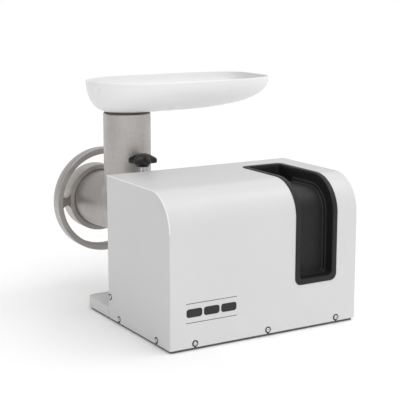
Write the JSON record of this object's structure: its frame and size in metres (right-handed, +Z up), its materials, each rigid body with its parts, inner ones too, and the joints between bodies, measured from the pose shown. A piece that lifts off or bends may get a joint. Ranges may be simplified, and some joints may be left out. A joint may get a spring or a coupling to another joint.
{
  "type": "electric meat grinder",
  "caption": "Bench meat grinder: box housing with bent top, recessed carry grip, screw-fed grinding head with ring nut and hand wheel, feed pipe and boat-shaped tray.",
  "frame": {"origin": "on the ground, under the middle of the machine's bounding box", "axes": "+X along the housing's long side, away from the grinding head's end; +Y from the plain front to the grinding head's outlet; +Z up"},
  "size_m": [0.381, 0.454, 0.4056],
  "materials": {
    "painted_steel": "satin white powder coat",
    "base_paint": "satin white powder coat",
    "head_metal": "blasted casting",
    "ring_metal": "blasted casting with turned rims",
    "tray_plastic": "smooth white moulding",
    "black_plastic": "fine textured moulding",
    "knob_plastic": "moulded, slight sheen",
    "rubber": "matte",
    "bright_steel": "bright",
    "tool_steel": "ground",
    "gear_steel": "oiled",
    "cast_case": "as cast",
    "motor_paint": "dark enamel",
    "core_steel": "laminated",
    "copper": "lacquered copper wire",
    "bronze": "sintered bronze",
    "brass": "bright brass",
    "green_plastic": "moulded",
    "red_plastic": "moulded",
    "cream_plastic": "moulded",
    "wire_sleeve": "sleeved harness"
  },
  "bodies": {
    "chassis": {"base_plate": "base_paint", "rubber_feet": "rubber", "foot_screws": "bright_steel", "housing_cover": "painted_steel", "cover_screws": "bright_steel", "back_plate": "base_paint", "back_screws": "bright_steel", "earth_stud": "bright_steel", "handle_insert": "black_plastic", "head_socket": "head_metal", "socket_bolts": "bright_steel", "shaft_seal": "rubber", "gearbox_case": "cast_case", "gearbox_cover": "cast_case", "gearbox_bolts": "bright_steel", "output_bearings": "bright_steel", "lay_bearings": "bright_steel", "motor_shell": "motor_paint", "front_bell": "cast_case", "rear_bell": "cast_case", "stator_core": "core_steel", "stator_windings": "copper", "motor_bearings": "bright_steel", "motor_cradle": "motor_paint", "run_capacitor": "cream_plastic", "capacitor_clip": "bright_steel", "terminal_block": "cream_plastic", "wiring": "wire_sleeve", "switch_body": "black_plastic", "switch_bezel": "black_plastic", "power_inlet": "black_plastic", "inlet_pins": "brass", "inlet_screws": "bright_steel"},
    "rotor": {"motor_shaft": "gear_steel", "rotor_core": "core_steel", "cooling_fan": "black_plastic"},
    "layshaft": {"lay_shaft": "gear_steel", "lay_gear": "gear_steel"},
    "output": {"output_shaft": "tool_steel", "output_gear": "gear_steel", "output_key": "tool_steel"},
    "head": {"head_casting": "head_metal", "auger_bush": "bronze", "thrust_washer": "bronze", "plate_pin": "bright_steel"},
    "worm": {"auger": "tool_steel", "knife": "tool_steel"},
    "plate": {"grinder_plate": "tool_steel"},
    "ring": {"ring_nut": "ring_metal"},
    "tray": {"feed_tray": "tray_plastic", "tray_gasket": "rubber"},
    "pad": {"clamp_pad": "brass"},
    "knob": {"clamp_knob": "knob_plastic", "clamp_stud": "bright_steel"},
    "start": {"start_button": "green_plastic"},
    "stop": {"stop_button": "red_plastic"}
  },
  "joints": [
    {"name": "rotor_spin", "type": "hinge", "parent": "chassis", "child": "rotor", "pos_m": [0.03937, -0.075, 0.10582], "axis": [0, 1, 0], "continuous": true},
    {"name": "layshaft_spin", "type": "hinge", "parent": "chassis", "child": "layshaft", "pos_m": [-0.02588, -0.075, 0.13625], "axis": [0, 1, 0], "continuous": true},
    {"name": "output_spin", "type": "hinge", "parent": "chassis", "child": "output", "pos_m": [-0.093, -0.075, 0.175], "axis": [0, 1, 0], "continuous": true},
    {"name": "head_pull", "type": "slide", "parent": "chassis", "child": "head", "axis": [0, 1, 0], "range_m": [0, 0.06]},
    {"name": "worm_spin", "type": "hinge", "parent": "head", "child": "worm", "pos_m": [-0.093, 0.075, 0.175], "axis": [0, 1, 0], "continuous": true},
    {"name": "plate_slide", "type": "slide", "parent": "head", "child": "plate", "axis": [0, 1, 0], "range_m": [0, 0.018]},
    {"name": "ring_turn", "type": "hinge", "parent": "plate", "child": "ring", "pos_m": [-0.093, 0.21, 0.175], "axis": [0, 1, 0], "range_deg": [0, 1080]},
    {"name": "tray_lift", "type": "slide", "parent": "head", "child": "tray", "axis": [0, 0, 1], "range_m": [0, 0.03]},
    {"name": "pad_slide", "type": "slide", "parent": "chassis", "child": "pad", "axis": [0, 0, 1], "range_m": [0, 0.00375]},
    {"name": "knob_turn", "type": "hinge", "parent": "pad", "child": "knob", "pos_m": [-0.099, 0.01, 0.265], "axis": [0, 0, 1], "range_deg": [0, 1080]},
    {"name": "start_press", "type": "slide", "parent": "chassis", "child": "start", "axis": [0, -1, 0], "range_m": [0, 0.003], "stiffness_N_per_m": 400},
    {"name": "stop_press", "type": "slide", "parent": "chassis", "child": "stop", "axis": [0, -1, 0], "range_m": [0, 0.003], "stiffness_N_per_m": 400}
  ],
  "couplings": [
    {"joint": "layshaft_spin", "follows": "rotor_spin", "ratio": -0.28571},
    {"joint": "output_spin", "follows": "rotor_spin", "ratio": 0.099379},
    {"joint": "worm_spin", "follows": "rotor_spin", "ratio": 0.099379},
    {"joint": "plate_slide", "follows": "ring_turn", "m_per_rad": 0.00095493},
    {"joint": "pad_slide", "follows": "knob_turn", "m_per_rad": 0.00019894}
  ]
}
